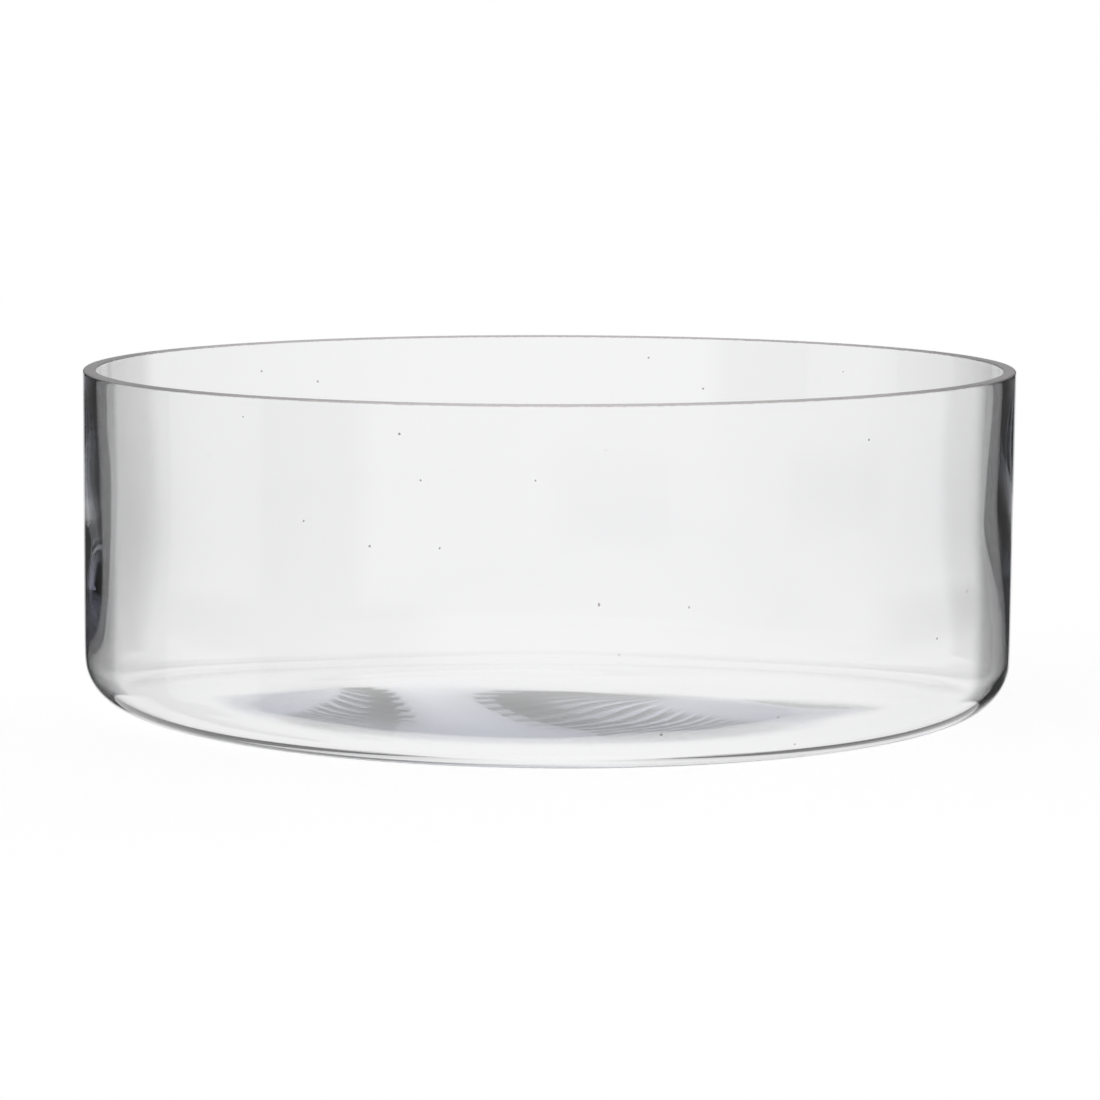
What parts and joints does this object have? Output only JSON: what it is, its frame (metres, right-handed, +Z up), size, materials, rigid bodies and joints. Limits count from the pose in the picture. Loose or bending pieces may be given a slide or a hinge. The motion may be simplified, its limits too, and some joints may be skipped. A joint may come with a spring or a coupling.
{
  "type": "bowl",
  "caption": "Wide low bowl of clear blown glass with straight upright walls, a ground flat rim, a rounded lower corner and a thick-centred base, for holding fruit, flowers or a salad.",
  "frame": {"origin": "centre of the surface that the bowl stands on", "axes": "+Z up along the bowl's own axis, +X and +Y level; the bowl is round, so any side can be its front"},
  "size_m": [0.28, 0.28, 0.1015],
  "materials": {
    "clear_glass": "polished blown glass with a ground rim"
  },
  "bodies": {
    "root": {"bowl": "clear_glass"}
  },
  "joints": []
}
